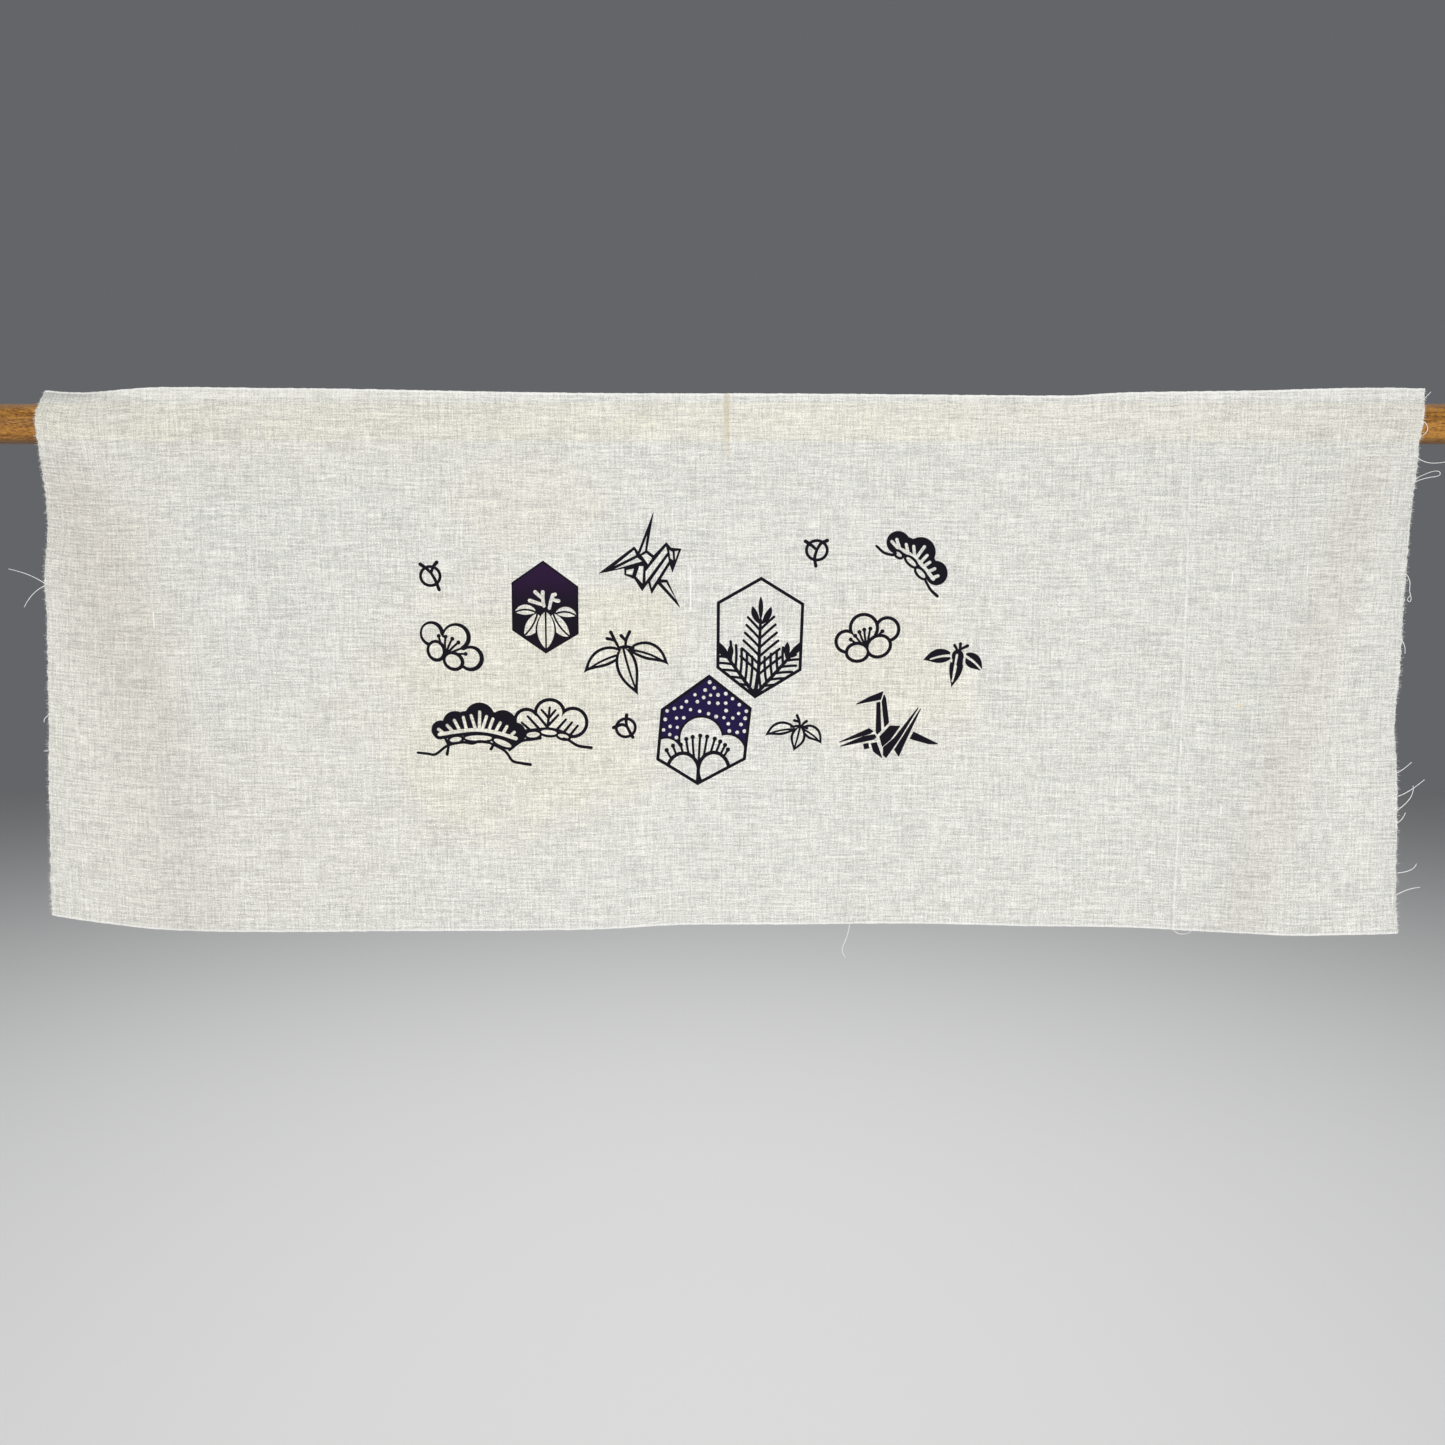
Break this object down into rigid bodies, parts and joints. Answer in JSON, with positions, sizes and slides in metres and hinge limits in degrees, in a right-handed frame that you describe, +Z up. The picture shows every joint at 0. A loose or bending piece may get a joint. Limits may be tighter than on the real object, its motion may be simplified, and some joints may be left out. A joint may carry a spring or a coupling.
{
  "type": "tenugui towel on wooden rod",
  "caption": "Long thin cotton tenugui towel with selvedge long sides and raw short ends, hung face on against the front of a plain round wooden rod.",
  "frame": {"origin": "on the rod's axis at the middle of its length", "axes": "+X along the rod, to the right as the printed face is seen; the printed face looks along -Y; +Z up"},
  "size_m": [1.2, 0.0328, 0.3616],
  "materials": {
    "cotton": "undyed plain-woven cotton, thin and dry, with a dark print",
    "wood": "golden-brown stained wood, satin"
  },
  "bodies": {
    "root": {"towel": "cotton", "rod": "wood"}
  },
  "joints": []
}
